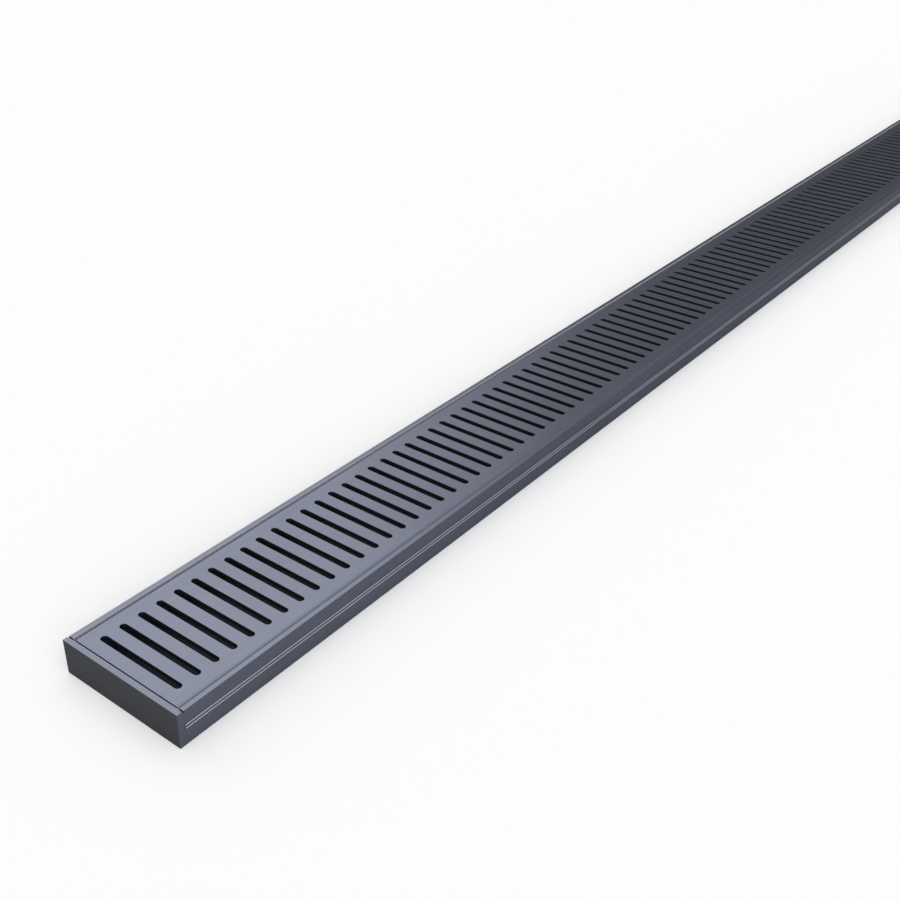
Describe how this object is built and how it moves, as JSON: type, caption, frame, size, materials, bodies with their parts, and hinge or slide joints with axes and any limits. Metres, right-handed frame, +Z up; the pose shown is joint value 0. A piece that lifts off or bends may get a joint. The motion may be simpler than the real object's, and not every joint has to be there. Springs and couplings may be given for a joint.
{
  "type": "channel drain",
  "caption": "Long shallow floor drain: a beaded aluminium channel with closed ends and an outlet in its floor, and a lift-out slotted grate that stands inside it.",
  "frame": {"origin": "middle of the underside", "axes": "+X along the drain, +Y across it, +Z up from the underside to the grate's face"},
  "size_m": [2, 0.101, 0.026],
  "materials": {
    "channel_aluminium": "brushed and anodised, titanium grey",
    "grate_aluminium": "brushed and anodised, titanium grey",
    "cap_aluminium": "satin anodised, titanium grey"
  },
  "bodies": {
    "root": {"channel": "channel_aluminium", "grate": "grate_aluminium", "end_cap_left": "cap_aluminium", "end_cap_right": "cap_aluminium"}
  },
  "joints": []
}
